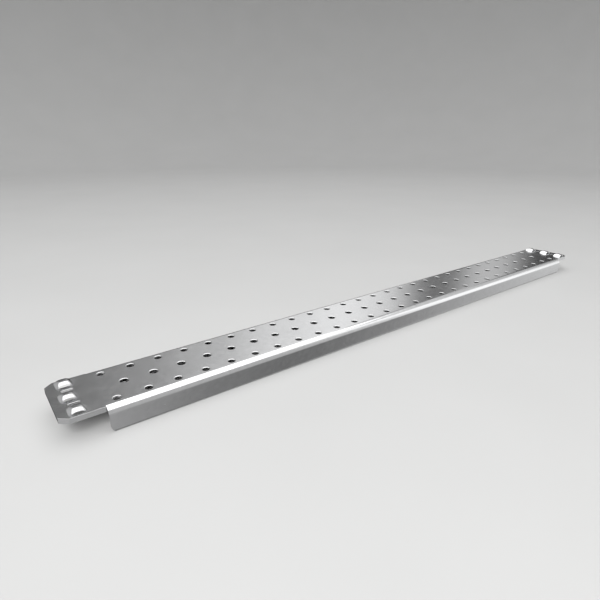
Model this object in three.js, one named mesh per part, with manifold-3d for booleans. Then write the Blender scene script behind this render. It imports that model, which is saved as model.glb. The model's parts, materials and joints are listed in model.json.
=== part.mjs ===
// Perforated sheet-steel scaffold plank: one folded and pressed sheet with a lipped tab at each end,
// stiffened underneath by two end ribs and six cross ribs.
// Millimetres, +X along the plank, +Z up, origin on the ground under the plank's centre.
import * as THREE from 'three';
import { mergeVertices } from 'three/addons/utils/BufferGeometryUtils.js';
import Module from 'manifold-3d';

const wasm = await Module();
wasm.setup();

// Sheet and overall section
const SHEET = 2;
const WIDTH = 140;
const DECK_TOP = 42.5;
const FLANGE_LENGTH = 1390;
const DECK_BEND = 13;
const RETURN_BEND = 4;
const RETURN_WIDTH = 13;
const BEND_STEPS = 6;
const FLANGE_CORNER = 6.5;
const TOUCH_GAP = 0.3;

// Hole pattern: two outer rows and a staggered middle row
const PITCH = 50;
const OUTER_HOLES = 28;
const OUTER_ROW_Y = 46;
const OUTER_HOLE_RADIUS = 6.1;
const MIDDLE_HOLE_RADIUS = 6.9;
const HOLE_SIDES = 8;

// Dish pressed down around each hole, and the rim it leaves under the deck
const DISH_MARGIN = 2.2;
const DISH_DEPTH = 1.8;
const RIM_DEPTH = 3.2;
const RIM_MARGIN = 1.8;
const RIM_ROOT_MARGIN = 2.4;

// End tabs
const PLANK_LENGTH = 1520;
const TAB_WIDTH = 124;
const TAB_LIP = 9;
const TAB_BEND = 2.6;
const TAB_BEND_STEPS = 3;
const TAB_CORNER_X = 12.5;
const TAB_CORNER_Y = 11;

// Raised bridges and slots on each tab
const OUTER_BRIDGE_INSET = 27.5;
const MIDDLE_BRIDGE_INSET = 24.5;
const BRIDGE_SPAN = 27;
const BRIDGE_WIDTH = 20.8;
const BRIDGE_PLATEAU = 9;
const BRIDGE_RISE = 7;
const BRIDGE_CROWN = 2.2;
const BRIDGE_STEPS = 6;
const SLOT_INSET = 28;
const SLOT_Y = 23;
const SLOT_LENGTH = 17.5;
const SLOT_WIDTH = 4.8;
const SLOT_STEPS = 4;

// Ribs welded across the inside of the channel
const RIB_DEPTH = 30;
const END_RIB_DEPTH = 36;
const RIB_FOOT = 10;
const CROSS_RIB_X = [-462.5, -262.5, -87.5, 87.5, 262.5, 462.5];
const END_RIB_X = 662.5;

const QUARTER = Math.PI / 2;
const DECK_UNDERSIDE = DECK_TOP - SHEET;
const HALF_WIDTH = WIDTH / 2;
const HALF_LENGTH = PLANK_LENGTH / 2;
const HALF_FLANGE = FLANGE_LENGTH / 2;
const OVERLAP = 1;

// Closed solid from a geometry, with only its positions kept and shared vertices merged.
function solid(geometry) {
  const bare = geometry.clone();
  bare.deleteAttribute('normal');
  bare.deleteAttribute('uv');
  const merged = mergeVertices(bare, 1e-4);
  const vertProperties = new Float32Array(merged.attributes.position.array);
  const triVerts = new Uint32Array(merged.index.array);
  return new wasm.Manifold(new wasm.Mesh({ numProp: 3, vertProperties, triVerts }));
}

// Geometry of a finished solid.
function geometryOf(body) {
  const mesh = body.getMesh();
  const geometry = new THREE.BufferGeometry();
  geometry.setAttribute('position', new THREE.BufferAttribute(new Float32Array(mesh.vertProperties), 3));
  geometry.setIndex(new THREE.BufferAttribute(new Uint32Array(mesh.triVerts), 1));
  geometry.computeVertexNormals();
  return geometry;
}

function box(low, high) {
  const size = high.map((value, i) => value - low[i]);
  const geometry = new THREE.BoxGeometry(...size);
  geometry.translate(...low.map((value, i) => value + size[i] / 2));
  return solid(geometry);
}

// A section drawn in Y and Z, extruded from x0 to x1.
function alongX(shape, x0, x1, curveSegments) {
  const geometry = new THREE.ExtrudeGeometry(shape, { depth: x1 - x0, bevelEnabled: false, curveSegments });
  const turn = new THREE.Matrix4().makeBasis(
    new THREE.Vector3(0, 1, 0),
    new THREE.Vector3(0, 0, 1),
    new THREE.Vector3(1, 0, 0),
  );
  geometry.applyMatrix4(turn);
  geometry.translate(x0, 0, 0);
  return solid(geometry);
}

// A section drawn in X and Z, extruded from y0 to y1.
function alongY(shape, y0, y1, curveSegments) {
  const geometry = new THREE.ExtrudeGeometry(shape, { depth: y1 - y0, bevelEnabled: false, curveSegments });
  geometry.rotateX(QUARTER);
  geometry.translate(0, y1, 0);
  return solid(geometry);
}

// Folded section: deck, two flanges and their inward returns.
function foldedSection() {
  const wall = HALF_WIDTH - SHEET;
  const shape = new THREE.Shape();
  shape.moveTo(-HALF_WIDTH + RETURN_WIDTH, 0);
  shape.lineTo(-HALF_WIDTH + RETURN_BEND, 0);
  shape.absarc(-HALF_WIDTH + RETURN_BEND, RETURN_BEND, RETURN_BEND, -QUARTER, -2 * QUARTER, true);
  shape.lineTo(-HALF_WIDTH, DECK_TOP - DECK_BEND);
  shape.absarc(-HALF_WIDTH + DECK_BEND, DECK_TOP - DECK_BEND, DECK_BEND, 2 * QUARTER, QUARTER, true);
  shape.lineTo(HALF_WIDTH - DECK_BEND, DECK_TOP);
  shape.absarc(HALF_WIDTH - DECK_BEND, DECK_TOP - DECK_BEND, DECK_BEND, QUARTER, 0, true);
  shape.lineTo(HALF_WIDTH, RETURN_BEND);
  shape.absarc(HALF_WIDTH - RETURN_BEND, RETURN_BEND, RETURN_BEND, 0, -QUARTER, true);
  shape.lineTo(HALF_WIDTH - RETURN_WIDTH, 0);
  shape.lineTo(HALF_WIDTH - RETURN_WIDTH, SHEET);
  shape.lineTo(HALF_WIDTH - RETURN_BEND, SHEET);
  shape.absarc(HALF_WIDTH - RETURN_BEND, RETURN_BEND, RETURN_BEND - SHEET, -QUARTER, 0, false);
  shape.lineTo(wall, DECK_TOP - DECK_BEND);
  shape.absarc(HALF_WIDTH - DECK_BEND, DECK_TOP - DECK_BEND, DECK_BEND - SHEET, 0, QUARTER, false);
  shape.lineTo(-HALF_WIDTH + DECK_BEND, DECK_UNDERSIDE);
  shape.absarc(-HALF_WIDTH + DECK_BEND, DECK_TOP - DECK_BEND, DECK_BEND - SHEET, QUARTER, 2 * QUARTER, false);
  shape.lineTo(-wall, RETURN_BEND);
  shape.absarc(-HALF_WIDTH + RETURN_BEND, RETURN_BEND, RETURN_BEND - SHEET, 2 * QUARTER, 3 * QUARTER, false);
  shape.lineTo(-HALF_WIDTH + RETURN_WIDTH, SHEET);
  shape.closePath();
  return shape;
}

// Wedge that clips the lower corner at one end of both flanges.
function flangeCornerCut(side) {
  const end = side * (HALF_FLANGE + OVERLAP);
  const shape = new THREE.Shape();
  shape.moveTo(end, -OVERLAP);
  shape.lineTo(side * (HALF_FLANGE - FLANGE_CORNER - OVERLAP), -OVERLAP);
  shape.lineTo(end, FLANGE_CORNER + OVERLAP);
  shape.closePath();
  return alongY(shape, -HALF_WIDTH - OVERLAP, HALF_WIDTH + OVERLAP, 1);
}

// Tab outline with clipped corners, seen from above, drawn in by a margin all round.
function tabOutline(side, margin) {
  const root = side * (HALF_FLANGE - 2 * TAB_BEND - margin);
  const end = side * (HALF_LENGTH - margin);
  const half = TAB_WIDTH / 2 - margin;
  const cornerX = end - side * (TAB_CORNER_X - margin * (Math.SQRT2 - 1));
  const cornerY = half - (TAB_CORNER_Y - margin * (Math.SQRT2 - 1));
  return new THREE.Shape([
    new THREE.Vector2(root, -half),
    new THREE.Vector2(cornerX, -half),
    new THREE.Vector2(end, -cornerY),
    new THREE.Vector2(end, cornerY),
    new THREE.Vector2(cornerX, half),
    new THREE.Vector2(root, half),
  ]);
}

// Block with the tab's outline and a rounded upper edge.
function tabBlock(side, margin, top, bend) {
  const geometry = new THREE.ExtrudeGeometry(tabOutline(side, margin), {
    depth: DECK_TOP,
    bevelEnabled: true,
    bevelSize: bend,
    bevelThickness: bend,
    bevelOffset: -bend,
    bevelSegments: TAB_BEND_STEPS,
  });
  geometry.translate(0, 0, top - bend - DECK_TOP);
  return solid(geometry);
}

// Tray-shaped tab: flat top with a lip turned down on its three free sides.
function tab(side) {
  const tray = tabBlock(side, 0, DECK_TOP, TAB_BEND);
  const inside = tabBlock(side, SHEET, DECK_UNDERSIDE, TAB_BEND - SHEET);
  const root = side * (HALF_FLANGE - OVERLAP);
  const end = side * (HALF_LENGTH + OVERLAP);
  const keep = box(
    [Math.min(root, end), -HALF_WIDTH, DECK_TOP - TAB_LIP],
    [Math.max(root, end), HALF_WIDTH, DECK_TOP + OVERLAP],
  );
  return tray.subtract(inside).intersect(keep);
}

// Height of a bridge's upper face above the deck, at a distance along the plank from its middle.
function bridgeHeight(distance) {
  const slope = (BRIDGE_SPAN - BRIDGE_PLATEAU) / 2;
  const climb = (BRIDGE_SPAN / 2 - Math.abs(distance)) / slope;
  return BRIDGE_RISE * (1 - Math.cos(2 * QUARTER * Math.min(Math.max(climb, 0), 1))) / 2;
}

// Opening in the tab under a raised bridge.
function bridgeWindow(x, y) {
  return box(
    [x - BRIDGE_SPAN / 2, y - BRIDGE_WIDTH / 2, DECK_UNDERSIDE - OVERLAP],
    [x + BRIDGE_SPAN / 2, y + BRIDGE_WIDTH / 2, DECK_TOP + OVERLAP],
  );
}

// Block under a bridge's upper face, arched along the plank and crowned across it.
function bridgeBlock(x, y, width) {
  const floor = DECK_UNDERSIDE - 2 * SHEET;
  const arch = [new THREE.Vector2(x - BRIDGE_SPAN / 2 - OVERLAP, floor)];
  arch.push(new THREE.Vector2(x - BRIDGE_SPAN / 2 - OVERLAP, DECK_TOP));
  for (const side of [-1, 1]) {
    for (let i = 0; i <= BRIDGE_STEPS; i += 1) {
      const along = side < 0 ? 1 - i / BRIDGE_STEPS : i / BRIDGE_STEPS;
      const distance = side * (BRIDGE_PLATEAU + (BRIDGE_SPAN - BRIDGE_PLATEAU) * along) / 2;
      arch.push(new THREE.Vector2(x + distance, DECK_TOP + bridgeHeight(distance)));
    }
  }
  arch.push(new THREE.Vector2(x + BRIDGE_SPAN / 2 + OVERLAP, DECK_TOP));
  arch.push(new THREE.Vector2(x + BRIDGE_SPAN / 2 + OVERLAP, floor));
  const crown = [new THREE.Vector2(y - width / 2, floor - OVERLAP)];
  for (let i = 0; i <= BRIDGE_STEPS; i += 1) {
    const across = width * (i / BRIDGE_STEPS - 0.5);
    const drop = BRIDGE_CROWN * (2 * across / BRIDGE_WIDTH) ** 2;
    crown.push(new THREE.Vector2(y + across, DECK_TOP + BRIDGE_RISE - drop));
  }
  crown.push(new THREE.Vector2(y + width / 2, floor - OVERLAP));
  const x0 = x - BRIDGE_SPAN / 2 - OVERLAP;
  const x1 = x + BRIDGE_SPAN / 2 + OVERLAP;
  const length = alongY(new THREE.Shape(arch), y - width / 2 - OVERLAP, y + width / 2 + OVERLAP, 1);
  return length.intersect(alongX(new THREE.Shape(crown), x0, x1, 1));
}

// Strip of sheet pressed up over its window, joined to the tab at its two feet.
function bridgeStrip(x, y) {
  const hollow = bridgeBlock(x, y, BRIDGE_WIDTH + 2 * OVERLAP).translate([0, 0, -SHEET]);
  const below = box(
    [x - BRIDGE_SPAN, y - BRIDGE_WIDTH, DECK_UNDERSIDE - 3 * SHEET],
    [x + BRIDGE_SPAN, y + BRIDGE_WIDTH, DECK_UNDERSIDE],
  );
  return bridgeBlock(x, y, BRIDGE_WIDTH).subtract(hollow).subtract(below);
}

// Slot with round ends cut through the tab.
function slotCut(x, y) {
  const reach = (SLOT_LENGTH - SLOT_WIDTH) / 2;
  const shape = new THREE.Shape();
  shape.absarc(x + reach, y, SLOT_WIDTH / 2, -QUARTER, QUARTER, false);
  shape.absarc(x - reach, y, SLOT_WIDTH / 2, QUARTER, 3 * QUARTER, false);
  shape.closePath();
  const depth = SHEET + 2 * OVERLAP;
  const geometry = new THREE.ExtrudeGeometry(shape, {
    depth,
    bevelEnabled: false,
    curveSegments: SLOT_STEPS,
  });
  geometry.translate(0, 0, DECK_UNDERSIDE - OVERLAP);
  return solid(geometry);
}

// Places and radii of all the deck holes.
function deckHoles() {
  const first = -PITCH * (OUTER_HOLES - 1) / 2;
  const holes = [];
  for (let i = 0; i < OUTER_HOLES; i += 1) {
    holes.push([first + i * PITCH, OUTER_ROW_Y, OUTER_HOLE_RADIUS]);
    holes.push([first + i * PITCH, -OUTER_ROW_Y, OUTER_HOLE_RADIUS]);
    if (i < OUTER_HOLES - 1) {
      holes.push([first + (i + 0.5) * PITCH, 0, MIDDLE_HOLE_RADIUS]);
    }
  }
  return holes;
}

// Round block about a hole's axis, from its foot up to its top.
function turned(profile, x, y) {
  const points = profile.map(([radius, height]) => new THREE.Vector2(radius, height));
  const geometry = new THREE.LatheGeometry(points, HOLE_SIDES);
  geometry.rotateX(QUARTER);
  geometry.rotateZ(QUARTER / HOLE_SIDES * 2);
  geometry.translate(x, y, 0);
  return solid(geometry);
}

// Rim of the dish, standing down from the sheet around a hole.
function dishRim([x, y, radius]) {
  const foot = DECK_TOP - RIM_DEPTH;
  const low = radius + RIM_MARGIN;
  const high = radius + RIM_ROOT_MARGIN;
  return turned([[0, foot], [low, foot], [high, DECK_UNDERSIDE], [0, DECK_UNDERSIDE]], x, y);
}

// Everything cut away by a dished hole: the bore and the dish above it.
function dishCut([x, y, radius]) {
  const foot = DECK_TOP - RIM_DEPTH - OVERLAP;
  const waist = DECK_TOP - DISH_DEPTH;
  const top = DECK_TOP + OVERLAP;
  const wide = radius + DISH_MARGIN * (1 + OVERLAP / DISH_DEPTH);
  return turned([[0, foot], [radius, foot], [radius, waist], [wide, top], [0, top]], x, y);
}

// The whole folded, punched and pressed sheet.
function deckSheet() {
  let body = alongX(foldedSection(), -HALF_FLANGE, HALF_FLANGE, BEND_STEPS);
  for (const side of [-1, 1]) {
    body = body.subtract(flangeCornerCut(side)).add(tab(side));
    for (const row of [-1, 0, 1]) {
      const inset = row === 0 ? MIDDLE_BRIDGE_INSET : OUTER_BRIDGE_INSET;
      const x = side * (HALF_LENGTH - inset);
      const y = row * OUTER_ROW_Y;
      body = body.subtract(bridgeWindow(x, y)).add(bridgeStrip(x, y));
    }
    const slotX = side * (HALF_LENGTH - SLOT_INSET);
    body = body.subtract(slotCut(slotX, SLOT_Y)).subtract(slotCut(slotX, -SLOT_Y));
  }
  const holes = deckHoles();
  body = body.add(wasm.Manifold.union(holes.map(dishRim)));
  return body.subtract(wasm.Manifold.union(holes.map(dishCut)));
}

// Rib across the channel: an upright web centred on webX, with a foot folded towards the side given.
function rib(webX, toward, depth) {
  const top = DECK_UNDERSIDE - TOUCH_GAP;
  const foot = top - depth;
  const reach = HALF_WIDTH - SHEET - TOUCH_GAP;
  const flat = HALF_WIDTH - DECK_BEND;
  const bend = DECK_BEND - SHEET - TOUCH_GAP;
  const shape = new THREE.Shape();
  shape.moveTo(-reach, foot);
  shape.lineTo(reach, foot);
  shape.lineTo(reach, DECK_TOP - DECK_BEND);
  shape.absarc(flat, DECK_TOP - DECK_BEND, bend, 0, QUARTER, false);
  shape.lineTo(-flat, top);
  shape.absarc(-flat, DECK_TOP - DECK_BEND, bend, QUARTER, 2 * QUARTER, false);
  shape.closePath();
  const web = alongX(shape, webX - SHEET / 2, webX + SHEET / 2, BEND_STEPS);
  const edge = webX + toward * (RIB_FOOT - SHEET / 2);
  const footPlate = box([Math.min(webX, edge), -reach, foot], [Math.max(webX, edge), reach, foot + SHEET]);
  return web.add(footPlate);
}

function galvanised(colour, roughness) {
  return new THREE.MeshStandardMaterial({ color: colour, roughness, metalness: 1 });
}

const plank = new THREE.Group();

function addNode(name, body, material) {
  const mesh = new THREE.Mesh(geometryOf(body), material);
  mesh.name = name;
  plank.add(mesh);
}

addNode('deck_sheet', deckSheet(), galvanised(0xc9ccd0, 0.28));

for (const side of [-1, 1]) {
  const name = side < 0 ? 'end_rib_left' : 'end_rib_right';
  addNode(name, rib(side * END_RIB_X, -side, END_RIB_DEPTH), galvanised(0xaeb2b6, 0.42));
}

CROSS_RIB_X.forEach((x, i) => {
  addNode(`cross_rib_${i + 1}`, rib(x, -Math.sign(x), RIB_DEPTH), galvanised(0xaeb2b6, 0.42));
});

export default plank;
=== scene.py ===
"""Looks of the perforated steel scaffold plank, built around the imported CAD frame.

The folded sheet is rebuilt as one fine shell with its dished holes, raised bridges, slots, bends and
lips, and the ribs under it get their bends and welds. Everything is in metres.
"""
import json
import math
import random

import bmesh
import bpy
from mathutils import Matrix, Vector


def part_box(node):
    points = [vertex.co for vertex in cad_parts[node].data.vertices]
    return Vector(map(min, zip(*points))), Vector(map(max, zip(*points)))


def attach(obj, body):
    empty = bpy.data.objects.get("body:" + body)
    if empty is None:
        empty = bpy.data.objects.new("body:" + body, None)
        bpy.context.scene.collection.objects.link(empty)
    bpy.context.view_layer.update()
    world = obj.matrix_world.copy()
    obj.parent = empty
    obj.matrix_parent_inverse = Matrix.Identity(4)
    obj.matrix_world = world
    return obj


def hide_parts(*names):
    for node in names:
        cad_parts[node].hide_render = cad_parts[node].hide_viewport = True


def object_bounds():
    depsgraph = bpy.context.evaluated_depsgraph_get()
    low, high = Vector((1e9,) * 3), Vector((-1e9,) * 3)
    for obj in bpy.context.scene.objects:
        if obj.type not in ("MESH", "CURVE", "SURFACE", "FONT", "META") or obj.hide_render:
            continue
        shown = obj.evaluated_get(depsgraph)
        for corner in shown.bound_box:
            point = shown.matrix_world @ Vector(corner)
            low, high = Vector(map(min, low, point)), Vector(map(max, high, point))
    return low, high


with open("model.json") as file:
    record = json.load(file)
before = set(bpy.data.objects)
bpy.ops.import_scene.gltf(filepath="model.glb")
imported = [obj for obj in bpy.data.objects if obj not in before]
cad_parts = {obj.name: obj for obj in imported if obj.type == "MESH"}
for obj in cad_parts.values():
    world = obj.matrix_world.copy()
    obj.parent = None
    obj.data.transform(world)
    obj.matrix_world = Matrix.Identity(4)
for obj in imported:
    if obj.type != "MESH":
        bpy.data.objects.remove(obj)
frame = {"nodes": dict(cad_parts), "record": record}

CAD_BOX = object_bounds()
MM = 0.001

# Sheet, folds and returns
SHEET = 2.0 * MM
FLANGE_HALF = 695.0 * MM
DECK_BEND = 13.0 * MM
RETURN_BEND = 4.0 * MM
RETURN_WIDTH = 13.0 * MM
FLANGE_CORNER = 6.5 * MM
CUT_EDGE = 0.2 * MM
CUT_EDGE_ANGLE = 50
FLAT_WEIGHT = 80

# Dished holes
PITCH = 50.0 * MM
OUTER_HOLES = 28
OUTER_ROW_Y = 46.0 * MM
OUTER_HOLE_RADIUS = 6.1 * MM
MIDDLE_HOLE_RADIUS = 6.9 * MM
DISH_MARGIN = 1.4 * MM
DISH_DEPTH = 1.2 * MM
RIM_DEPTH = 3.1 * MM
HOLE_STEPS = 48
DISH_STEPS = 8

# End tabs with their bridges and slots
TAB_WIDTH = 124.0 * MM
TAB_LIP = 9.0 * MM
TAB_FOLD = 0.3 * MM
TAB_CORNER = (12.5 * MM, 11.0 * MM)
TAB_CORNER_ROUND = 1.0 * MM
TAB_RELIEF = 0.6 * MM
TAB_SIDE_STEPS = 5
TAB_CORNER_STEPS = 4
TAB_END_STEPS = 6
OUTER_BRIDGE_INSET = 27.5 * MM
MIDDLE_BRIDGE_INSET = 24.5 * MM
BRIDGE_SPAN = 27.0 * MM
BRIDGE_WIDTH = 20.8 * MM
BRIDGE_RISE = 6.9 * MM
BRIDGE_CROWN = 0.31
BRIDGE_SHOULDER = 3.6
BRIDGE_FOOT = 1.5
BRIDGE_STEPS_ALONG = 32
BRIDGE_STEPS_ACROSS = 14
SHEAR_GAP = 0.15 * MM
SHEAR_STEPS = 10
SLOT_INSET = 28.0 * MM
SLOT_Y = 23.0 * MM
SLOT_LENGTH = 17.5 * MM
SLOT_WIDTH = 4.8 * MM
SLOT_ROUND = 0.7 * MM
SLOT_END_STEPS = 12

# Ribs under the deck
RIB_BEND = 4.0 * MM
RIB_WAIST_DROP = 1.0 * MM
RIB_COLUMNS = 16
RIB_ROUND_STEPS = 8
RIB_WEB_STEPS = 4

# Stitch welds, lumpy and rippled, tapering at both ends
WELD_RADIUS = 1.6 * MM
WELD_CORNER = 0.6 * MM
WELD_SIDES = 10
WELD_STEP = 0.8 * MM
WELD_MIN_STEPS = 10
WELD_TAPER = 6
WELD_END = 0.25
WELD_RIPPLE = 0.12
WELD_RIPPLE_LENGTH = 2.2 * MM
WELD_LUMPS = 0.05
DECK_WELD_Y = 34 * MM
DECK_WELD_LENGTH = 16 * MM
FLANGE_WELD_START = 5 * MM
FLANGE_WELD_LENGTH = 14 * MM
SEEDS_PER_RIB = 10

# Smoothness of the folds
BEND_STEPS = 12
SMALL_BEND_STEPS = 6
FOLD_STEPS = 4
FLANGE_STEPS = 4
COLUMNS_PER_PITCH = 4

LOW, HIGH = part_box("deck_sheet")
HALF_LENGTH = (HIGH.x - LOW.x) / 2
HALF_WIDTH = (HIGH.y - LOW.y) / 2
DECK_TOP = next(m["pos_m"][2] for m in frame["record"]["mounts"] if m["name"] == "walking_surface")
FLAT_HALF = HALF_WIDTH - DECK_BEND
UP = Vector((0, 0, 1))


class Shell:
    """One side of a sheet under construction: every vertex keeps its place on the other side."""

    def __init__(self):
        self.bm = bmesh.new()
        self.other_side = {}
        self.edges = []

    def paired_row(self, points):
        """Vertices at (place, place on the other side) pairs."""
        verts = []
        for place, other in points:
            vert = self.bm.verts.new(place)
            self.other_side[vert] = other
            verts.append(vert)
        return verts

    def row(self, points):
        """Vertices at (place, direction the sheet faces there) pairs."""
        pairs = [(at, Vector(at) - Vector(facing).normalized() * SHEET) for at, facing in points]
        return self.paired_row(pairs)

    def level_row(self, places):
        return self.row([(place, UP) for place in places])

    def outline(self, verts):
        """A closed boundary of the flat area."""
        for i, vert in enumerate(verts):
            pair = (vert, verts[(i + 1) % len(verts)])
            self.edges.append(self.bm.edges.get(pair) or self.bm.edges.new(pair))

    def strip(self, first, second, closed=False):
        """Quads between two rows of the same length."""
        count = len(first)
        for i in range(count if closed else count - 1):
            j = (i + 1) % count
            self.bm.faces.new((first[i], first[j], second[j], second[i]))

    def fill(self):
        """The flat area between all the outlines."""
        bmesh.ops.triangle_fill(self.bm, use_beauty=True, edges=self.edges, normal=UP)

    def thicken(self):
        """Second side of the sheet and the cut edges between the two."""
        upper = list(self.bm.faces)
        border = [edge for edge in self.bm.edges if len(edge.link_faces) == 1]
        under = {vert: self.bm.verts.new(place) for vert, place in self.other_side.items()}
        for face in upper:
            self.bm.faces.new([under[vert] for vert in reversed(face.verts)])
        for edge in border:
            a, b = edge.verts
            self.bm.faces.new((a, b, under[b], under[a]))
        bmesh.ops.remove_doubles(self.bm, verts=list(under.values()), dist=0.001 * MM)

    def finish(self, name):
        bmesh.ops.recalc_face_normals(self.bm, faces=self.bm.faces)
        return piece_of(self.bm, name)


def piece_of(bm, name):
    """Smooth-shaded object made from a finished bmesh."""
    mesh = bpy.data.meshes.new(name)
    bm.to_mesh(mesh)
    bm.free()
    for polygon in mesh.polygons:
        polygon.use_smooth = True
    piece = bpy.data.objects.new(name, mesh)
    bpy.context.scene.collection.objects.link(piece)
    return piece


def soften_cut_edges(piece):
    edge = piece.modifiers.new("cut_edges", "BEVEL")
    edge.width = CUT_EDGE
    edge.segments = 2
    edge.limit_method = "ANGLE"
    edge.angle_limit = math.radians(CUT_EDGE_ANGLE)
    normals = piece.modifiers.new("normals", "WEIGHTED_NORMAL")
    normals.weight = FLAT_WEIGHT


def leaning(way, lean):
    """Direction leaning from straight up towards a level direction, in radians."""
    return UP * math.cos(lean) + Vector((way[0], way[1], 0)) * math.sin(lean)


def deck_holes():
    """Places and radii of the two outer rows and the staggered middle row."""
    first = -PITCH * (OUTER_HOLES - 1) / 2
    holes = []
    for i in range(OUTER_HOLES):
        holes.append(((first + i * PITCH, OUTER_ROW_Y), OUTER_HOLE_RADIUS))
        holes.append(((first + i * PITCH, -OUTER_ROW_Y), OUTER_HOLE_RADIUS))
        if i < OUTER_HOLES - 1:
            holes.append(((first + (i + 0.5) * PITCH, 0.0), MIDDLE_HOLE_RADIUS))
    return holes


def ring(shell, place, radius, drop, lean):
    """Circle of vertices round a hole, facing up and leaning towards its axis."""
    points = []
    for i in range(HOLE_STEPS):
        angle = 2 * math.pi * i / HOLE_STEPS
        way = Vector((math.cos(angle), math.sin(angle), 0))
        points.append((Vector((place[0], place[1], DECK_TOP - drop)) + way * radius, leaning(-way, lean)))
    return shell.row(points)


def dished_hole(shell, place, radius):
    """Sheet curving down all round a hole, from the flat deck to the rim below it."""
    previous = None
    for i in range(DISH_STEPS + 1):
        angle = math.pi / 2 * i / DISH_STEPS
        lean = math.atan2(DISH_DEPTH * math.sin(angle), DISH_MARGIN * math.cos(angle))
        reach = radius + DISH_MARGIN * (1 - math.sin(angle))
        current = ring(shell, place, reach, DISH_DEPTH * (1 - math.cos(angle)), lean)
        if previous is None:
            shell.outline(current)
        else:
            shell.strip(previous, current, closed=True)
        previous = current
    shell.strip(previous, ring(shell, place, radius, RIM_DEPTH, math.pi / 2), closed=True)


def slot(shell, centre):
    """Round-ended slot with a rolled edge."""
    reach = (SLOT_LENGTH - SLOT_WIDTH) / 2
    turns = []
    for end, start in ((1, -90), (-1, 90)):
        for i in range(SLOT_END_STEPS + 1):
            turns.append((end, math.radians(start + 180 * i / SLOT_END_STEPS)))
    previous = None
    for i in range(FOLD_STEPS + 1):
        lean = math.pi / 2 * i / FOLD_STEPS
        radius = SLOT_WIDTH / 2 + SLOT_ROUND * (1 - math.sin(lean))
        height = DECK_TOP - SLOT_ROUND * (1 - math.cos(lean))
        points = []
        for end, angle in turns:
            way = (math.cos(angle), math.sin(angle))
            place = (centre[0] + end * reach + radius * way[0], centre[1] + radius * way[1], height)
            points.append((place, leaning((-way[0], -way[1]), lean)))
        current = shell.row(points)
        if previous is None:
            shell.outline(current)
        else:
            shell.strip(previous, current, closed=True)
        previous = current


def bridge_lift(x, y):
    """Height of a bridge above the deck, measured from its middle."""
    along = min(abs(2 * x / BRIDGE_SPAN), 1)
    crown = 1 - BRIDGE_CROWN * (2 * y / BRIDGE_WIDTH) ** 2
    return BRIDGE_RISE * crown * (1 - along ** BRIDGE_SHOULDER) ** BRIDGE_FOOT


def bridge_facing(x, y):
    step = 0.05 * MM
    slope_x = (bridge_lift(x + step, y) - bridge_lift(x - step, y)) / (2 * step)
    slope_y = (bridge_lift(x, y + step) - bridge_lift(x, y - step)) / (2 * step)
    return Vector((-slope_x, -slope_y, 1))


def bridge(shell, centre):
    """Strip sheared along its two sides and pressed up, still joined to the tab at its two feet."""
    half_x = BRIDGE_SPAN / 2
    half_y = BRIDGE_WIDTH / 2
    rows = []
    for i in range(BRIDGE_STEPS_ALONG + 1):
        x = -half_x + BRIDGE_SPAN * i / BRIDGE_STEPS_ALONG
        reach = half_y if i in (0, BRIDGE_STEPS_ALONG) else half_y - SHEAR_GAP
        points = []
        for j in range(BRIDGE_STEPS_ACROSS + 1):
            y = -reach + 2 * reach * j / BRIDGE_STEPS_ACROSS
            place = (centre[0] + x, centre[1] + y, DECK_TOP + bridge_lift(x, y))
            points.append((place, bridge_facing(x, y)))
        rows.append(shell.row(points))
    for first, second in zip(rows, rows[1:]):
        shell.strip(first, second)
    side = []
    for i in range(1, SHEAR_STEPS):
        side.append((centre[0] - half_x + BRIDGE_SPAN * i / SHEAR_STEPS, centre[1] - half_y, DECK_TOP))
    far_side = [(x, centre[1] + half_y, z) for x, _, z in reversed(side)]
    shell.outline(shell.level_row(side) + rows[-1] + shell.level_row(far_side) + list(reversed(rows[0])))


def tab_edge():
    """Flat edge of the right tab and its outward directions, from +Y round to -Y."""
    half = TAB_WIDTH / 2
    out = Vector((TAB_CORNER[1], TAB_CORNER[0])).normalized()
    reach = TAB_FOLD + TAB_CORNER_ROUND
    level = out.x * (HALF_LENGTH - TAB_CORNER[0]) + out.y * half - reach
    top = half - reach
    end = HALF_LENGTH - reach
    root = FLANGE_HALF + TAB_RELIEF
    corner_a = Vector(((level - out.y * top) / out.x, top))
    corner_b = Vector((end, (level - out.x * end) / out.y))
    slant = math.atan2(out.y, out.x)
    edge = []
    for i in range(TAB_SIDE_STEPS):
        edge.append((Vector((root + (corner_a.x - root) * i / TAB_SIDE_STEPS, top)), Vector((0, 1))))
    for centre, start, stop in ((corner_a, math.pi / 2, slant), (corner_b, slant, 0)):
        for i in range(TAB_CORNER_STEPS + 1):
            angle = start + (stop - start) * i / TAB_CORNER_STEPS
            edge.append((centre.copy(), Vector((math.cos(angle), math.sin(angle)))))
    for i in range(1, TAB_END_STEPS):
        edge.append((Vector((end, corner_b.y * (1 - i / TAB_END_STEPS))), Vector((1, 0))))
    edge = [(point + TAB_CORNER_ROUND * way, way) for point, way in edge]
    mirrored = [(Vector((p.x, -p.y)), Vector((w.x, -w.y))) for p, w in reversed(edge)]
    return edge + mirrored


def bend_profile(radius, start, steps, lean=0.0):
    """Outward reach, drop and lean round a quarter bend, after its first point."""
    points = []
    for i in range(1, steps + 1):
        angle = lean + math.pi / 2 * i / steps
        points.append((start[0] + radius * math.sin(angle), start[1] + radius * math.cos(angle), angle))
    return points


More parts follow.
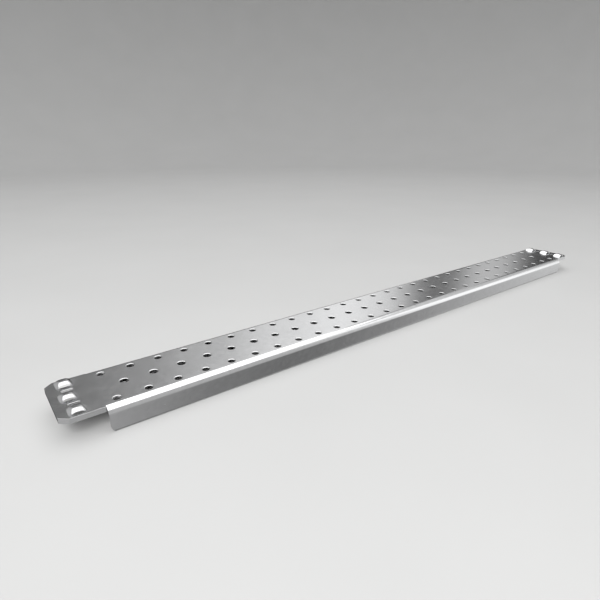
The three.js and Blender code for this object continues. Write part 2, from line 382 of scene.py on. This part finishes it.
def flange_profile():
    """The upper bend, the flange and the return at its foot, as reach, drop and lean."""
    foot = DECK_TOP - LOW.z
    straight = foot - RETURN_BEND - DECK_BEND
    profile = bend_profile(DECK_BEND, (0, -DECK_BEND), BEND_STEPS)
    for i in range(1, FLANGE_STEPS + 1):
        profile.append((DECK_BEND, -DECK_BEND - straight * i / FLANGE_STEPS, math.pi / 2))
    start = (DECK_BEND - RETURN_BEND, -foot + RETURN_BEND)
    profile += bend_profile(RETURN_BEND, start, SMALL_BEND_STEPS, math.pi / 2)
    return profile + [(DECK_BEND - RETURN_WIDTH, -foot, math.pi)]


def flange(shell, row, columns, side):
    """One side flange, running down from a row of the deck, with its lower corners cut off."""
    foot = DECK_TOP - LOW.z
    previous = row
    for reach, drop, lean in flange_profile():
        limit = FLANGE_HALF - max(0.0, FLANGE_CORNER - (foot + drop))
        places = [(max(-limit, min(limit, x)), side * (FLAT_HALF + reach), DECK_TOP + drop) for x in columns]
        current = shell.row([(place, leaning((0, side), lean)) for place in places])
        shell.strip(previous, current)
        previous = current


def lip_row(shell, edge, reach, drop, inner_drop):
    """Points round the tab, with the sheet's other side inside the sharp inner corner of the fold."""
    points = []
    for base, way in edge:
        outer = base + way * reach
        inner = base + way * (TAB_FOLD - SHEET)
        points.append(((*outer, DECK_TOP - drop), (*inner, DECK_TOP - inner_drop)))
    return shell.paired_row(points)


def lip(shell, row, edge):
    """Lip folded down round three sides of a tab."""
    previous = row
    for i in range(1, FOLD_STEPS + 1):
        angle = math.pi / 2 * i / FOLD_STEPS
        current = lip_row(shell, edge, TAB_FOLD * math.sin(angle), TAB_FOLD * (1 - math.cos(angle)), SHEET)
        shell.strip(previous, current)
        previous = current
    shell.strip(previous, lip_row(shell, edge, TAB_FOLD, TAB_LIP, TAB_LIP))


def folded_sheet():
    """Deck, flanges, tabs, holes, bridges and slots as one sheet."""
    shell = Shell()
    count = round(2 * FLANGE_HALF / (PITCH / COLUMNS_PER_PITCH))
    columns = [-FLANGE_HALF + 2 * FLANGE_HALF * i / count for i in range(count + 1)]
    right = tab_edge()
    left = [(-point, -way) for point, way in right]
    back = shell.level_row([(x, FLAT_HALF, DECK_TOP) for x in columns])
    front = shell.level_row([(x, -FLAT_HALF, DECK_TOP) for x in columns])
    right_row = lip_row(shell, right, 0.0, 0.0, SHEET)
    left_row = lip_row(shell, left, 0.0, 0.0, SHEET)
    shell.outline(back + right_row + list(reversed(front)) + left_row)
    flange(shell, back, columns, 1)
    flange(shell, front, columns, -1)
    lip(shell, right_row, right)
    lip(shell, left_row, left)
    for place, radius in deck_holes():
        dished_hole(shell, place, radius)
    for side in (-1, 1):
        for row in (-1, 0, 1):
            inset = MIDDLE_BRIDGE_INSET if row == 0 else OUTER_BRIDGE_INSET
            bridge(shell, (side * (HALF_LENGTH - inset), row * OUTER_ROW_Y))
        for slot_y in (-SLOT_Y, SLOT_Y):
            slot(shell, (side * (HALF_LENGTH - SLOT_INSET), slot_y))
    shell.fill()
    shell.thicken()
    piece = shell.finish("plank_sheet")
    soften_cut_edges(piece)
    return piece


def bent_rib(name):
    """Upright web under the deck with its foot folded towards the plank's middle."""
    low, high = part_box(name)
    toward = -1 if low.x > 0 else 1
    web = high.x if toward < 0 else low.x
    edge = low.x if toward < 0 else high.x
    reach = (high.y - low.y) / 2
    round_off = reach - FLAT_HALF
    waist = high.z - round_off - RIB_WAIST_DROP
    columns = [-FLAT_HALF + 2 * FLAT_HALF * i / RIB_COLUMNS for i in range(RIB_COLUMNS + 1)]
    for i in range(1, RIB_ROUND_STEPS + 1):
        columns.append(FLAT_HALF + round_off * math.sin(math.pi / 2 * i / RIB_ROUND_STEPS))
        columns.insert(0, -columns[-1])

    def top(y):
        over = max(0.0, abs(y) - FLAT_HALF)
        return high.z - round_off + math.sqrt(max(0.0, round_off ** 2 - over ** 2))

    shell = Shell()
    outward = Vector((-toward, 0, 0))
    rows = [shell.row([((web, y, top(y)), outward) for y in columns])]
    for i in range(RIB_WEB_STEPS + 1):
        z = waist + (low.z + RIB_BEND - waist) * i / RIB_WEB_STEPS
        rows.append(shell.row([((web, y, z), outward) for y in columns]))
    for i in range(1, SMALL_BEND_STEPS + 1):
        angle = math.pi / 2 * i / SMALL_BEND_STEPS
        x = web + toward * RIB_BEND * (1 - math.cos(angle))
        z = low.z + RIB_BEND * (1 - math.sin(angle))
        facing = outward * math.cos(angle) - UP * math.sin(angle)
        rows.append(shell.row([((x, y, z), facing) for y in columns]))
    rows.append(shell.row([((edge, y, low.z), -UP) for y in columns]))
    for first, second in zip(rows, rows[1:]):
        shell.strip(first, second)
    shell.thicken()
    piece = shell.finish("bent_" + name)
    soften_cut_edges(piece)
    return piece


def weld_bead(name, start, end, inward, seed):
    """Lumpy fillet weld from start to end, bulging along inward."""
    rng = random.Random(seed)
    bm = bmesh.new()
    along = end - start
    length = along.length
    along.normalize()
    across = along.cross(inward).normalized()
    steps = max(WELD_MIN_STEPS, round(length / WELD_STEP))
    rings = []
    for i in range(steps + 1):
        t = i / steps
        swell = math.sqrt(max(0.0, 1 - (2 * t - 1) ** WELD_TAPER))
        ripple = 1 + WELD_RIPPLE * math.sin(2 * math.pi * t * length / WELD_RIPPLE_LENGTH)
        ripple += rng.uniform(-WELD_LUMPS, WELD_LUMPS)
        radius = WELD_RADIUS * ripple * (WELD_END + (1 - WELD_END) * swell)
        centre = start + along * length * t
        verts = []
        for j in range(WELD_SIDES):
            angle = 2 * math.pi * j / WELD_SIDES
            way = inward * math.cos(angle) + across * math.sin(angle)
            verts.append(bm.verts.new(centre + way * radius))
        rings.append(verts)
    for first, second in zip(rings, rings[1:]):
        for j in range(WELD_SIDES):
            k = (j + 1) % WELD_SIDES
            bm.faces.new((first[j], first[k], second[k], second[j]))
    bm.faces.new(rings[0])
    bm.faces.new(rings[-1])
    bmesh.ops.recalc_face_normals(bm, faces=bm.faces)
    return piece_of(bm, name)


def rib_welds(name, seed):
    """Stitch welds along the outer face of a rib, under the deck and down both flanges."""
    low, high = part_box(name)
    outer = low.x if low.x < 0 else high.x
    out = Vector((-1 if low.x < 0 else 1, 0, 0))
    x = outer + out.x * WELD_CORNER
    runs = []
    for y in (-DECK_WELD_Y, 0.0, DECK_WELD_Y):
        start = Vector((x, y - DECK_WELD_LENGTH / 2, high.z - WELD_CORNER))
        runs.append((start, start + Vector((0, DECK_WELD_LENGTH, 0)), (out - UP).normalized()))
    for side in (-1, 1):
        start = Vector((x, side * (high.y - WELD_CORNER), low.z + FLANGE_WELD_START))
        runs.append((start, start + UP * FLANGE_WELD_LENGTH, (out - Vector((0, side, 0))).normalized()))
    return [weld_bead(f"weld_{name}_{i}", *run, seed + i) for i, run in enumerate(runs)]


def node(tree, kind, **values):
    made = tree.nodes.new(kind)
    for key, value in values.items():
        setattr(made, key, value)
    return made


# Zinc coat: spangle flakes, rolling grain, clouds and handling marks. A pair is the amount on bright
# metal and what fully dull metal adds to it.
FLAKE_SCALE = 130
FLAKE_SMOOTHNESS = 0.25
GRAIN_STRETCH = (12, 900, 900)
CLOUD_SCALE = 14
MARK_STRETCH = (9, 260, 260)
MARK_TURN = 13
MARK_RANGE = (0.66, 0.74)
FLAKE_ROUGH = (0.05, 0.06)
CLOUD_ROUGH = (0.035, 0.13)
GRAIN_ROUGH = 0.05
MARK_ROUGH = 0.07
FLAKE_TONE = (0.04, 0.07)
CLOUD_TONE = (0.03, 0.15)
MARK_TONE = -0.025
UNDER_FLAKES = 0.05
RED_TINT = 0.995
BLUE_TINT = 1.008
FLAKE_HEIGHT = 0.35
GRAIN_HEIGHT = 0.25
MARK_HEIGHT = -0.5
CLOUD_HEIGHT = 0.8
COAT_BUMP = (0.07, 0.25)
COAT_DEPTH = 0.05 * MM


def galvanised(name, tone, rough, dull):
    """Zinc-coated steel: faint spangle, rolling grain, handling marks and a slightly uneven surface."""
    material = bpy.data.materials.new(name)
    material.use_nodes = True
    tree = material.node_tree
    links = tree.links
    shader = tree.nodes["Principled BSDF"]
    shader.inputs["Metallic"].default_value = 1.0
    place = node(tree, "ShaderNodeTexCoord").outputs["Object"]

    def noise(stretch, turn, scale, detail):
        space = node(tree, "ShaderNodeMapping")
        space.inputs["Scale"].default_value = stretch
        space.inputs["Rotation"].default_value = (0, 0, turn)
        links.new(place, space.inputs["Vector"])
        pattern = node(tree, "ShaderNodeTexNoise")
        pattern.inputs["Scale"].default_value = scale
        pattern.inputs["Detail"].default_value = detail
        links.new(space.outputs["Vector"], pattern.inputs["Vector"])
        return pattern.outputs["Fac"]

    def scaled(source, amount, onto):
        multiply = node(tree, "ShaderNodeMath", operation="MULTIPLY_ADD")
        links.new(source, multiply.inputs[0])
        multiply.inputs[1].default_value = amount
        if isinstance(onto, float):
            multiply.inputs[2].default_value = onto
        else:
            links.new(onto, multiply.inputs[2])
        return multiply.outputs[0]

    def by_dullness(pair):
        return pair[0] + dull * pair[1]

    spangle = node(tree, "ShaderNodeTexVoronoi", feature="SMOOTH_F1")
    spangle.inputs["Scale"].default_value = FLAKE_SCALE
    spangle.inputs["Smoothness"].default_value = FLAKE_SMOOTHNESS
    links.new(place, spangle.inputs["Vector"])
    flake_tone = node(tree, "ShaderNodeRGBToBW")
    links.new(spangle.outputs["Color"], flake_tone.inputs["Color"])
    flake = flake_tone.outputs["Val"]
    grain = noise(GRAIN_STRETCH, turn=0, scale=1, detail=3)
    cloud = noise((1, 1, 1), turn=0, scale=CLOUD_SCALE, detail=5)
    marks = node(tree, "ShaderNodeMapRange", interpolation_type="SMOOTHSTEP")
    marks.inputs["From Min"].default_value = MARK_RANGE[0]
    marks.inputs["From Max"].default_value = MARK_RANGE[1]
    scratches = noise(MARK_STRETCH, turn=math.radians(MARK_TURN), scale=1, detail=2)
    links.new(scratches, marks.inputs["Value"])
    mark = marks.outputs["Result"]

    roughness = scaled(flake, by_dullness(FLAKE_ROUGH), rough - UNDER_FLAKES)
    roughness = scaled(cloud, by_dullness(CLOUD_ROUGH), roughness)
    roughness = scaled(grain, GRAIN_ROUGH, roughness)
    roughness = scaled(mark, MARK_ROUGH, roughness)
    links.new(roughness, shader.inputs["Roughness"])

    bright = scaled(flake, by_dullness(FLAKE_TONE), tone - UNDER_FLAKES)
    bright = scaled(cloud, by_dullness(CLOUD_TONE), bright)
    bright = scaled(mark, MARK_TONE, bright)
    tint = node(tree, "ShaderNodeCombineColor")
    links.new(scaled(bright, RED_TINT, 0.0), tint.inputs[0])
    links.new(bright, tint.inputs[1])
    links.new(scaled(bright, BLUE_TINT, 0.0), tint.inputs[2])
    links.new(tint.outputs[0], shader.inputs["Base Color"])

    height = scaled(flake, FLAKE_HEIGHT, 0.0)
    height = scaled(grain, GRAIN_HEIGHT, height)
    height = scaled(mark, MARK_HEIGHT, height)
    height = scaled(cloud, CLOUD_HEIGHT, height)
    bump = node(tree, "ShaderNodeBump")
    bump.inputs["Strength"].default_value = by_dullness(COAT_BUMP)
    bump.inputs["Distance"].default_value = COAT_DEPTH
    links.new(height, bump.inputs["Height"])
    links.new(bump.outputs["Normal"], shader.inputs["Normal"])
    return material


def weld_metal():
    """Dull, sooty weld bead."""
    material = bpy.data.materials.new("weld_metal")
    material.use_nodes = True
    tree = material.node_tree
    shader = tree.nodes["Principled BSDF"]
    shader.inputs["Metallic"].default_value = 1.0
    soot = node(tree, "ShaderNodeTexNoise")
    soot.inputs["Scale"].default_value = 260
    soot.inputs["Detail"].default_value = 5
    tree.links.new(node(tree, "ShaderNodeTexCoord").outputs["Object"], soot.inputs["Vector"])
    ramp = node(tree, "ShaderNodeValToRGB")
    ramp.color_ramp.elements[0].color = (0.18, 0.17, 0.16, 1)
    ramp.color_ramp.elements[1].color = (0.5, 0.49, 0.48, 1)
    tree.links.new(soot.outputs["Fac"], ramp.inputs["Fac"])
    tree.links.new(ramp.outputs["Color"], shader.inputs["Base Color"])
    rough = node(tree, "ShaderNodeMapRange")
    rough.inputs["To Min"].default_value = 0.35
    rough.inputs["To Max"].default_value = 0.6
    tree.links.new(soot.outputs["Fac"], rough.inputs["Value"])
    tree.links.new(rough.outputs["Result"], shader.inputs["Roughness"])
    bump = node(tree, "ShaderNodeBump")
    bump.inputs["Strength"].default_value = 0.4
    bump.inputs["Distance"].default_value = 0.1 * MM
    tree.links.new(soot.outputs["Fac"], bump.inputs["Height"])
    tree.links.new(bump.outputs["Normal"], shader.inputs["Normal"])
    return material


# Brightness of the studio by bearing, clockwise from +Y in degrees: behind and beside the plank, and
# from below on the near side
WALL_GLOW = [(-180, 0.52), (-60, 0.52), (-28, 0.5), (-16, 0.36), (-5, 0.18), (6, 0.18), (16, 0.33),
             (24, 0.53), (35, 0.84), (42.8, 1.0), (48, 0.85), (50.5, 0.55), (53, 0.14), (55.5, 0.16),
             (59, 0.63), (61.2, 0.61), (64.8, 0.05), (80, 0.1), (100, 0.5), (112, 1.0), (120, 1.35),
             (130, 1.35), (138, 0.6), (150, 0.52), (180, 0.52)]
FLOOR_GLOW = [(-180, 0.48), (-100, 0.48), (-40, 0.42), (-14, 0.12), (0, 0.03), (82, 0.03), (92, 0.75),
              (114, 0.63), (118, 0.53), (124, 0.41), (130, 0.28), (143, 0.18), (155, 0.23), (166, 0.35),
              (172, 0.44), (180, 0.48)]
FLOOR_RISE = (-0.3, -0.04)
# Height at which the white ceiling begins, as the sine of the elevation, by the same bearings
CEILING_START = [(-180, 0.72), (-165, 0.75), (-140, 0.8), (-60, 0.72), (-44, 0.6), (-22, 0.6), (-4, 0.69),
                 (15, 0.68), (30, 0.62), (40, 0.58), (50, 0.6), (58, 0.72), (110, 0.74), (180, 0.72)]
CEILING = 2.0
CEILING_BLEND = 0.035
# Haze high up beside the plank, and shade low down behind it: the bearings in degrees and the sines of
# the elevation between which each one comes in and goes out
SIDE_HAZE = 0.64
HAZE_START = (50, 60)
HAZE_END = (108, 122)
HAZE_RISE = (0.36, 0.5)
SHADE = 0.05
SHADE_START = (-12, 4)
SHADE_END = (110, 96)
SHADE_RISE = (0.22, 0.09)


def studio_world():
    """Soft studio light all round, mirrored in the metal."""
    world = bpy.data.worlds.new("studio")
    bpy.context.scene.world = world
    world.use_nodes = True
    tree = world.node_tree
    links = tree.links
    way = node(tree, "ShaderNodeSeparateXYZ")
    links.new(node(tree, "ShaderNodeTexCoord").outputs["Generated"], way.inputs[0])
    bearing = node(tree, "ShaderNodeMath", operation="ARCTAN2")
    links.new(way.outputs["X"], bearing.inputs[0])
    links.new(way.outputs["Y"], bearing.inputs[1])

    def by_bearing(stops):
        low, high = math.radians(stops[0][0]), math.radians(stops[-1][0])
        spread = node(tree, "ShaderNodeMapRange")
        spread.inputs["From Min"].default_value = low
        spread.inputs["From Max"].default_value = high
        links.new(bearing.outputs[0], spread.inputs["Value"])
        ramp = node(tree, "ShaderNodeValToRGB")
        ramp.color_ramp.interpolation = "EASE"
        elements = ramp.color_ramp.elements
        elements.remove(elements[-1])
        for i, (angle, value) in enumerate(stops):
            spot = (math.radians(angle) - low) / (high - low)
            element = elements[0] if i == 0 else elements.new(spot)
            element.position = spot
            element.color = (value, value, value, 1)
        links.new(spread.outputs["Result"], ramp.inputs["Fac"])
        return ramp.outputs["Color"]

    def step(source, limits):
        smooth = node(tree, "ShaderNodeMapRange", interpolation_type="SMOOTHSTEP")
        smooth.inputs["From Min"].default_value = limits[0]
        smooth.inputs["From Max"].default_value = limits[1]
        links.new(source, smooth.inputs["Value"])
        return smooth.outputs["Result"]

    def turned(limits):
        return step(bearing.outputs[0], [math.radians(limit) for limit in limits])

    def math_of(operation, first, second):
        made = node(tree, "ShaderNodeMath", operation=operation)
        links.new(first, made.inputs[0])
        links.new(second, made.inputs[1])
        return made.outputs[0]

    def mixed(factor, first, second):
        mix = node(tree, "ShaderNodeMixRGB")
        links.new(factor, mix.inputs["Fac"])
        for socket, value in ((mix.inputs["Color1"], first), (mix.inputs["Color2"], second)):
            if isinstance(value, float):
                socket.default_value = (value, value, value, 1)
            else:
                links.new(value, socket)
        return mix.outputs["Color"]

    rise = way.outputs["Z"]
    above = math_of("SUBTRACT", rise, by_bearing(CEILING_START))
    beside = math_of("MULTIPLY", turned(HAZE_START), step(rise, HAZE_RISE))
    past = turned(HAZE_END)
    haze = math_of("MULTIPLY", beside, math_of("SUBTRACT", beside, past))
    wall = mixed(haze, by_bearing(WALL_GLOW), SIDE_HAZE)
    behind = math_of("MULTIPLY", turned(SHADE_START), turned(SHADE_END))
    shaded = math_of("MULTIPLY", behind, step(rise, SHADE_RISE))
    wall = mixed(shaded, wall, SHADE)
    low = mixed(step(rise, FLOOR_RISE), by_bearing(FLOOR_GLOW), wall)
    sky = mixed(step(above, (-CEILING_BLEND, CEILING_BLEND)), low, CEILING)
    links.new(sky, tree.nodes["Background"].inputs["Color"])


# Flat floor round the plank, and the wall it sweeps up into
FLOOR_REACH = 4.5
SWEEP = 2.5
WALL_HEIGHT = 7.0
SWEEP_STEPS = 24
WALL_SIDES = 128
FLOOR_GAP = 0.1 * MM
PATCH_GAP = 0.05 * MM
FLOOR_TONES = ((0.36, 0.36, 0.358, 1), (0.385, 0.385, 0.383, 1))


def paint():
    """Matt pale floor paint, slightly uneven."""
    material = bpy.data.materials.new("floor_paint")
    material.use_nodes = True
    tree = material.node_tree
    shader = tree.nodes["Principled BSDF"]
    shader.inputs["Roughness"].default_value = 0.85
    cloud = node(tree, "ShaderNodeTexNoise")
    cloud.inputs["Scale"].default_value = 3
    tree.links.new(node(tree, "ShaderNodeTexCoord").outputs["Object"], cloud.inputs["Vector"])
    ramp = node(tree, "ShaderNodeValToRGB")
    ramp.color_ramp.elements[0].color = FLOOR_TONES[0]
    ramp.color_ramp.elements[1].color = FLOOR_TONES[1]
    tree.links.new(cloud.outputs["Fac"], ramp.inputs["Fac"])
    tree.links.new(ramp.outputs["Color"], shader.inputs["Base Color"])
    return material


def backdrop(finish):
    """Pale floor sweeping up into a wall all round, far from the plank."""
    profile = []
    for i in range(SWEEP_STEPS + 1):
        angle = math.pi / 2 * i / SWEEP_STEPS
        profile.append((FLOOR_REACH + SWEEP * math.sin(angle), SWEEP * (1 - math.cos(angle))))
    profile.append((FLOOR_REACH + SWEEP, WALL_HEIGHT))
    turns = [2 * math.pi * i / WALL_SIDES for i in range(WALL_SIDES)]
    bm = bmesh.new()
    rings = []
    for reach, height in profile:
        places = [(reach * math.cos(turn), reach * math.sin(turn), height) for turn in turns]
        rings.append([bm.verts.new(place) for place in places])
    bm.faces.new(rings[0])
    for lower, upper in zip(rings, rings[1:]):
        for i in range(WALL_SIDES):
            j = (i + 1) % WALL_SIDES
            bm.faces.new((lower[j], lower[i], upper[i], upper[j]))
    floor = piece_of(bm, "studio_floor")
    floor.location.z = CAD_BOX[0][2] - FLOOR_GAP
    floor.visible_glossy = False
    floor.data.materials.append(finish)


def shaded_floor(finish):
    """Patch of the same floor in the shade under the plank, which the metal above it reflects."""
    bm = bmesh.new()
    x = HALF_LENGTH
    y = HALF_WIDTH - SHEET
    bm.faces.new([bm.verts.new(place) for place in ((-x, -y, 0), (x, -y, 0), (x, y, 0), (-x, y, 0))])
    patch = piece_of(bm, "shaded_floor")
    patch.location.z = CAD_BOX[0][2] - PATCH_GAP
    patch.data.materials.append(finish)


def softbox(name, bearing, elevation, distance, size, power):
    """Square soft light aimed at the plank's middle, which the metal doesn't mirror."""
    light = bpy.data.lights.new(name, "AREA")
    light.size = size
    light.energy = power
    lamp = bpy.data.objects.new(name, light)
    bpy.context.scene.collection.objects.link(lamp)
    a = math.radians(bearing)
    e = math.radians(elevation)
    way = Vector((math.sin(a) * math.cos(e), math.cos(a) * math.cos(e), math.sin(e)))
    lamp.location = way * distance
    lamp.rotation_euler = way.to_track_quat("Z", "Y").to_euler()
    lamp.visible_camera = False
    lamp.visible_glossy = False


# Camera place from the middle of the deck, in plank lengths, and its angles in degrees
CAMERA_PLACE = (-0.5395, -0.4655, 0.2554)
CAMERA_DIP = 20.32
CAMERA_TURN = -36.99
LENS = 27.715
SENSOR = 36


def camera():
    data = bpy.data.cameras.new("camera")
    data.lens = LENS
    data.sensor_width = SENSOR
    view = bpy.data.objects.new("camera", data)
    bpy.context.scene.collection.objects.link(view)
    length = CAD_BOX[1][0] - CAD_BOX[0][0]
    aside, back, up = CAMERA_PLACE
    view.location = (aside * length, back * length, DECK_TOP + up * length)
    view.rotation_euler = (math.radians(90 - CAMERA_DIP), 0, math.radians(CAMERA_TURN))
    bpy.context.scene.camera = view


bpy.context.scene.view_settings.view_transform = "Standard"

sheet = folded_sheet()
sheet.data.materials.append(galvanised("galvanised_sheet", tone=0.76, rough=0.16, dull=0.0))
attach(sheet, "root")
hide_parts("deck_sheet")

rib_metal = galvanised("galvanised_rib", tone=0.6, rough=0.3, dull=1.0)
bead_metal = weld_metal()
for index, name in enumerate(sorted(n for n in frame["nodes"] if n != "deck_sheet")):
    rib = bent_rib(name)
    rib.data.materials.append(rib_metal)
    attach(rib, "root")
    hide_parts(name)
    for bead in rib_welds(name, SEEDS_PER_RIB * index):
        bead.data.materials.append(bead_metal)
        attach(bead, "root")

studio_world()
floor_paint = paint()
backdrop(floor_paint)
shaded_floor(floor_paint)
softbox("front_softbox", bearing=222, elevation=36, distance=5.0, size=2.6, power=350)
camera()
